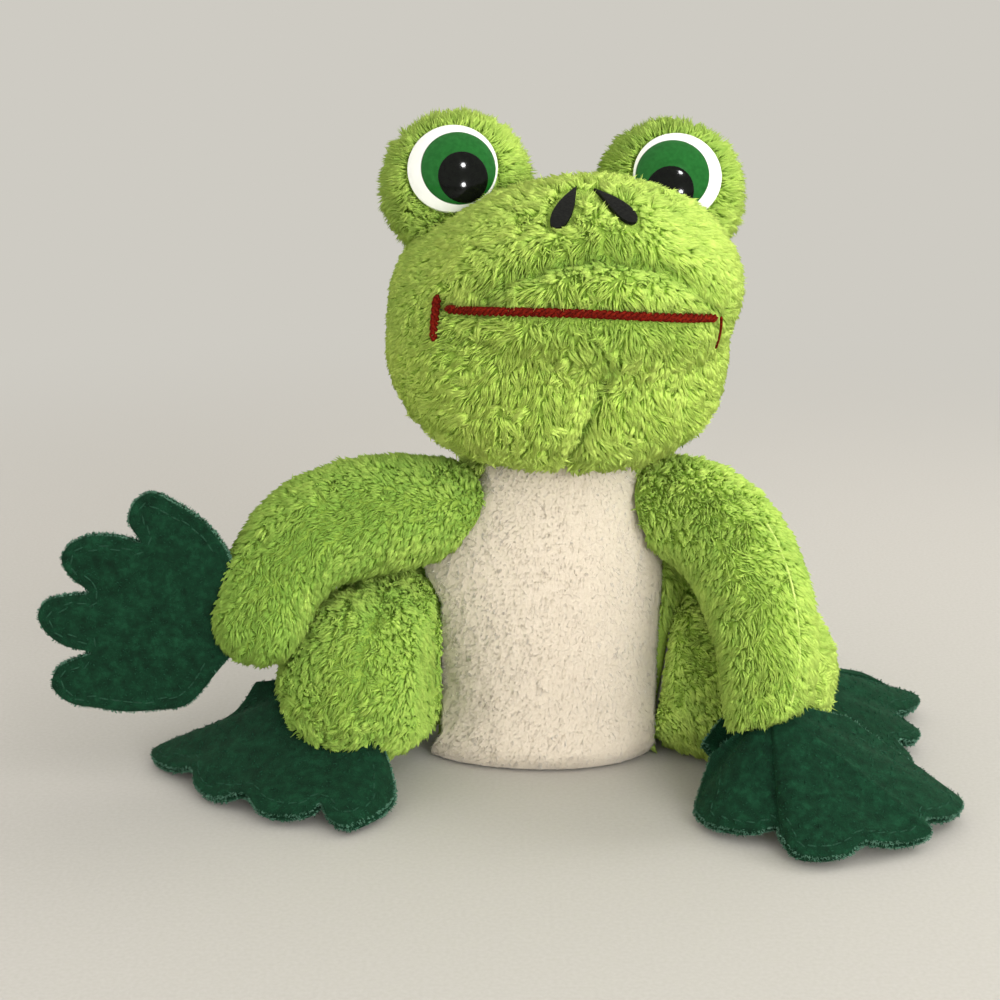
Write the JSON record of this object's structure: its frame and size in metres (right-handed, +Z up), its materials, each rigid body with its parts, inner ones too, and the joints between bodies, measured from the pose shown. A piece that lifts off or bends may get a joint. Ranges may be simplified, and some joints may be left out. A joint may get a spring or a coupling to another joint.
{
  "type": "plush frog",
  "caption": "Seated stuffed plush frog with a cream belly panel, moulded dome eyes on raised mounds, jointed limbs, and stitched felt fan hands and feet.",
  "frame": {"origin": "centre of the flat underside of the torso, on the surface that the frog sits on", "axes": "+X towards the frog's left hand, -Y the way the frog faces, +Z up"},
  "size_m": [0.2106, 0.1082, 0.1479],
  "materials": {
    "plush_green": "short brushed pile, matte",
    "plush_cream": "short combed pile, matte",
    "wadding": "loose polyester wadding",
    "green_felt": "pressed felt, matte",
    "black_felt": "pressed felt, matte",
    "red_thread": "twisted yarn",
    "eye_white": "glossy moulded",
    "eye_iris": "glossy moulded",
    "eye_pupil": "glossy moulded",
    "eye_washer": "plain moulded"
  },
  "bodies": {
    "torso": {"torso_cover": "plush_green", "belly_panel": "plush_cream", "torso_filling": "wadding"},
    "head": {"head_top_cover": "plush_green", "head_jaw_cover": "plush_green", "head_filling": "wadding", "mouth_thread": "red_thread", "right_mouth_stitch": "red_thread", "left_mouth_stitch": "red_thread", "right_nostril": "black_felt", "left_nostril": "black_felt", "right_mound_cover": "plush_green", "right_mound_filling": "wadding", "right_eye_white": "eye_white", "right_eye_iris": "eye_iris", "right_eye_pupil": "eye_pupil", "right_eye_washer": "eye_washer", "left_mound_cover": "plush_green", "left_mound_filling": "wadding", "left_eye_white": "eye_white", "left_eye_iris": "eye_iris", "left_eye_pupil": "eye_pupil", "left_eye_washer": "eye_washer"},
    "right_arm": {"right_arm_cover": "plush_green", "right_arm_filling": "wadding"},
    "right_hand": {"right_hand_upper_felt": "green_felt", "right_hand_lower_felt": "green_felt"},
    "left_arm": {"left_arm_cover": "plush_green", "left_arm_filling": "wadding"},
    "left_hand": {"left_hand_upper_felt": "green_felt", "left_hand_lower_felt": "green_felt"},
    "right_leg": {"right_leg_outer_cover": "plush_green", "right_leg_inner_cover": "plush_green", "right_leg_filling": "wadding"},
    "right_foot": {"right_foot_upper_felt": "green_felt", "right_foot_lower_felt": "green_felt"},
    "left_leg": {"left_leg_outer_cover": "plush_green", "left_leg_inner_cover": "plush_green", "left_leg_filling": "wadding"},
    "left_foot": {"left_foot_upper_felt": "green_felt", "left_foot_lower_felt": "green_felt"}
  },
  "joints": [
    {"name": "neck", "type": "hinge", "parent": "torso", "child": "head", "pos_m": [0.003, 0, 0.0735], "axis": [0, 0, 1], "range_deg": [-20, 20]},
    {"name": "right_shoulder", "type": "hinge", "parent": "torso", "child": "right_arm", "pos_m": [-0.02095, -0.00945, 0.05997], "axis": [0.7352, 0.5121, -0.4441], "range_deg": [0, 40]},
    {"name": "left_shoulder", "type": "hinge", "parent": "torso", "child": "left_arm", "pos_m": [0.02585, -0.00946, 0.06003], "axis": [-0.7637, 0.5101, -0.3957], "range_deg": [0, 40]},
    {"name": "right_wrist", "type": "hinge", "parent": "right_arm", "child": "right_hand", "pos_m": [-0.06385, -0.03105, 0.04089], "axis": [-0.1242, -0.0004, -0.9923], "range_deg": [-30, 5]},
    {"name": "left_wrist", "type": "hinge", "parent": "left_arm", "child": "left_hand", "pos_m": [0.04733, -0.04456, 0.02553], "axis": [-0.8664, -0.3794, -0.3246], "range_deg": [-5, 40]},
    {"name": "right_hip", "type": "hinge", "parent": "torso", "child": "right_leg", "pos_m": [-0.0249, 0.00005, 0.0229], "axis": [0.996, 0.01, 0.0892], "range_deg": [0, 40]},
    {"name": "left_hip", "type": "hinge", "parent": "torso", "child": "left_leg", "pos_m": [0.02678, -0.00004, 0.02326], "axis": [0.9856, 0.0099, -0.1687], "range_deg": [0, 40]},
    {"name": "right_ankle", "type": "hinge", "parent": "right_leg", "child": "right_foot", "pos_m": [-0.0432, -0.02425, 0.0235], "axis": [0.7195, -0.6231, -0.3066], "range_deg": [-10, 25]},
    {"name": "left_ankle", "type": "hinge", "parent": "left_leg", "child": "left_foot", "pos_m": [0.04928, -0.01414, 0.02326], "axis": [-0.3123, -0.8561, -0.4117], "range_deg": [-25, 10]}
  ]
}
